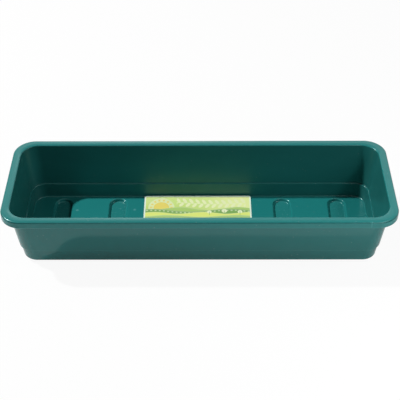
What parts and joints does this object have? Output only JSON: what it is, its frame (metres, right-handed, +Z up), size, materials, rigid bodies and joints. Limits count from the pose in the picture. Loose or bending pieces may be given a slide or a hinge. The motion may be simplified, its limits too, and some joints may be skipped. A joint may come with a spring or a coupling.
{
  "type": "garden tray",
  "caption": "Long, narrow plastic garden tray with a wide turned-down rim, sloping walls with a low ledge, channels pressed into its floor as feet, and a printed label lying inside.",
  "frame": {"origin": "under the middle of the tray, on the plane that its feet stand on", "axes": "+X along the tray's length, +Y from its front to its back, where the label lies, +Z up"},
  "size_m": [0.56, 0.19, 0.098],
  "materials": {
    "tray_plastic": "dark green-teal moulded plastic with a satin gloss and a faint flow grain",
    "label_film": "thin printed film in yellow-greens with a white border"
  },
  "bodies": {
    "root": {"tray": "tray_plastic", "label": "label_film"}
  },
  "joints": []
}
